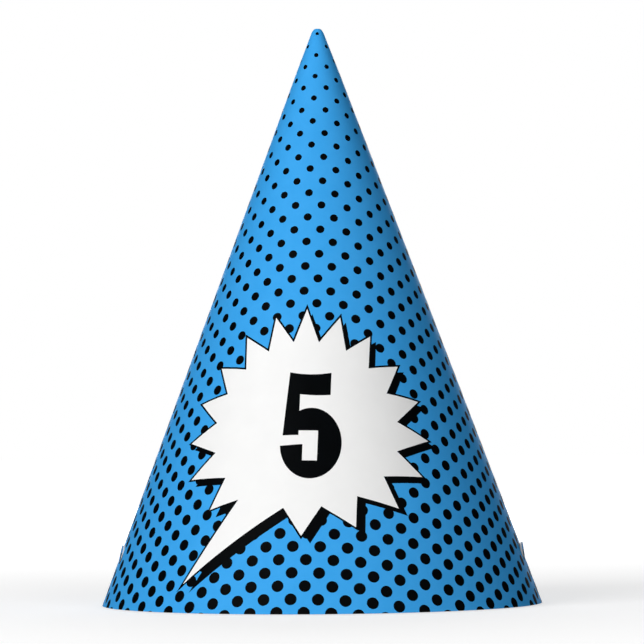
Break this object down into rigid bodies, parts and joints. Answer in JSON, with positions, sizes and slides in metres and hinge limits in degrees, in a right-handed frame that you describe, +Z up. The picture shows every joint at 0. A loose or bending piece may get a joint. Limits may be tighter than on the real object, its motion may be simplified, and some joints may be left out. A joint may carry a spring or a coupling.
{
  "type": "cone party hat",
  "caption": "Cone party hat of rolled printed card with a taped back seam, halftone dots, a starburst panel with a numeral, and fold-out side tongues for a strap.",
  "frame": {"origin": "centre of the circle that the rim stands on, in the rim's plane", "axes": "+Z up the cone to its tip, -Y the printed front, whose artwork is turned 7.5 degrees towards -X, +Y the back seam, +X and -X the sides, with a strap tongue 6 degrees in front of each"},
  "size_m": [0.127, 0.127, 0.1668],
  "materials": {
    "printed_card": "satin printed outside, plain white inside",
    "adhesive": "clear tacky film"
  },
  "bodies": {
    "cone": {"cone_card": "printed_card", "seam_adhesive_strip": "adhesive"},
    "tongue_left": {"strap_tongue_left": "printed_card"},
    "tongue_right": {"strap_tongue_right": "printed_card"}
  },
  "joints": [
    {"name": "tongue_left_fold", "type": "hinge", "parent": "cone", "child": "tongue_left", "pos_m": [-0.05838, -0.00614, 0.0129], "axis": [0.1045, -0.9945, 0], "range_deg": [-7, 80]},
    {"name": "tongue_right_fold", "type": "hinge", "parent": "cone", "child": "tongue_right", "pos_m": [0.05838, -0.00614, 0.0129], "axis": [0.1045, 0.9945, 0], "range_deg": [-12, 80]}
  ]
}
